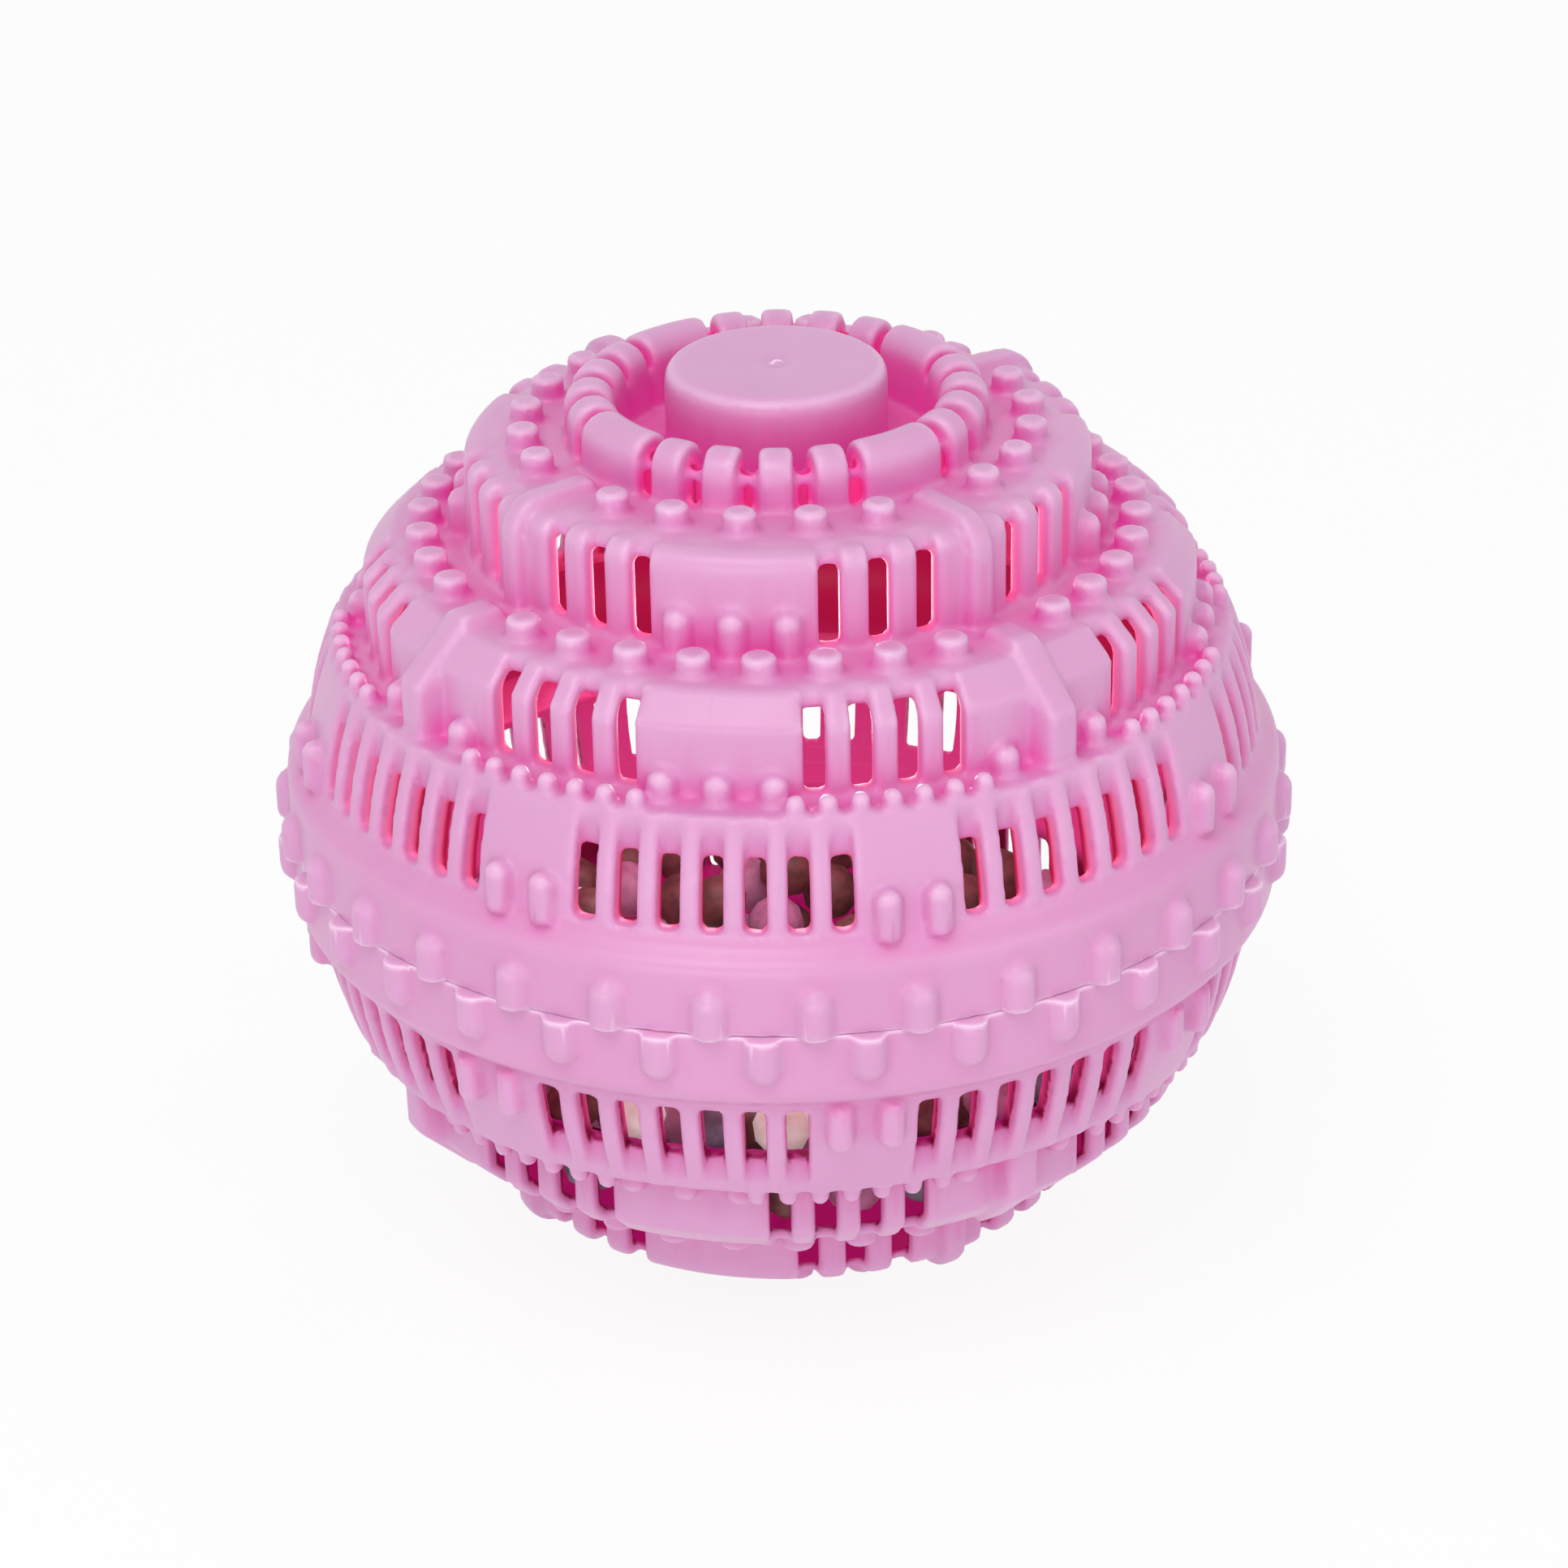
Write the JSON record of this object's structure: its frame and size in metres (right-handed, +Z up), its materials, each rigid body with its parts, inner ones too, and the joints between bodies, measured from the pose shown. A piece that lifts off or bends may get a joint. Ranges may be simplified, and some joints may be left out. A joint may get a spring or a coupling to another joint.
{
  "type": "pet hair laundry ball",
  "caption": "Round laundry ball of two slotted plastic half shells with stepped tiers, studs and loose ceramic beads inside; the halves pull apart.",
  "frame": {"origin": "centre of the lower button's flat face, where the ball stands", "axes": "+Z up through both buttons, square to the seam between the halves; -Y is the front, towards the camera"},
  "size_m": [0.1, 0.1, 0.0916],
  "materials": {
    "shell_plastic": "satin, slightly translucent",
    "cap_plastic": "satin, slightly translucent",
    "magnet_steel": "plated",
    "ceramic_mauve": "matt",
    "ceramic_cream": "matt",
    "ceramic_grey": "matt",
    "ceramic_brown": "matt"
  },
  "bodies": {
    "lower_half": {"lower_shell": "shell_plastic", "lower_magnet": "magnet_steel", "lower_magnet_cap": "cap_plastic"},
    "upper_half": {"upper_shell": "shell_plastic", "upper_magnet": "magnet_steel", "upper_magnet_cap": "cap_plastic"},
    "bead_charge": {"bead_brown_01": "ceramic_brown", "bead_brown_02": "ceramic_brown", "bead_brown_03": "ceramic_brown", "bead_brown_04": "ceramic_brown", "bead_brown_05": "ceramic_brown", "bead_brown_06": "ceramic_brown", "bead_brown_07": "ceramic_brown", "bead_brown_08": "ceramic_brown", "bead_cream_01": "ceramic_cream", "bead_cream_02": "ceramic_cream", "bead_cream_03": "ceramic_cream", "bead_cream_04": "ceramic_cream", "bead_cream_05": "ceramic_cream", "bead_cream_06": "ceramic_cream", "bead_cream_07": "ceramic_cream", "bead_cream_08": "ceramic_cream", "bead_cream_09": "ceramic_cream", "bead_cream_10": "ceramic_cream", "bead_cream_11": "ceramic_cream", "bead_cream_12": "ceramic_cream", "bead_cream_13": "ceramic_cream", "bead_grey_01": "ceramic_grey", "bead_grey_02": "ceramic_grey", "bead_grey_03": "ceramic_grey", "bead_grey_04": "ceramic_grey", "bead_grey_05": "ceramic_grey", "bead_grey_06": "ceramic_grey", "bead_grey_07": "ceramic_grey", "bead_grey_08": "ceramic_grey", "bead_mauve_01": "ceramic_mauve", "bead_mauve_02": "ceramic_mauve", "bead_mauve_03": "ceramic_mauve", "bead_mauve_04": "ceramic_mauve", "bead_mauve_05": "ceramic_mauve", "bead_mauve_06": "ceramic_mauve", "bead_mauve_07": "ceramic_mauve", "bead_mauve_08": "ceramic_mauve", "bead_mauve_09": "ceramic_mauve", "bead_mauve_10": "ceramic_mauve", "bead_mauve_11": "ceramic_mauve", "bead_mauve_12": "ceramic_mauve", "bead_mauve_13": "ceramic_mauve", "bead_mauve_14": "ceramic_mauve", "bead_mauve_15": "ceramic_mauve", "bead_mauve_16": "ceramic_mauve", "bead_mauve_17": "ceramic_mauve", "bead_mauve_18": "ceramic_mauve", "bead_mauve_19": "ceramic_mauve", "bead_mauve_20": "ceramic_mauve", "bead_mauve_21": "ceramic_mauve"}
  },
  "joints": [
    {"name": "upper_half_lift", "type": "slide", "parent": "lower_half", "child": "upper_half", "axis": [0, 0, 1], "range_m": [0, 0.06]},
    {"name": "bead_charge_lift", "type": "slide", "parent": "lower_half", "child": "bead_charge", "axis": [0, 0, 1], "range_m": [0, 0.03]}
  ]
}
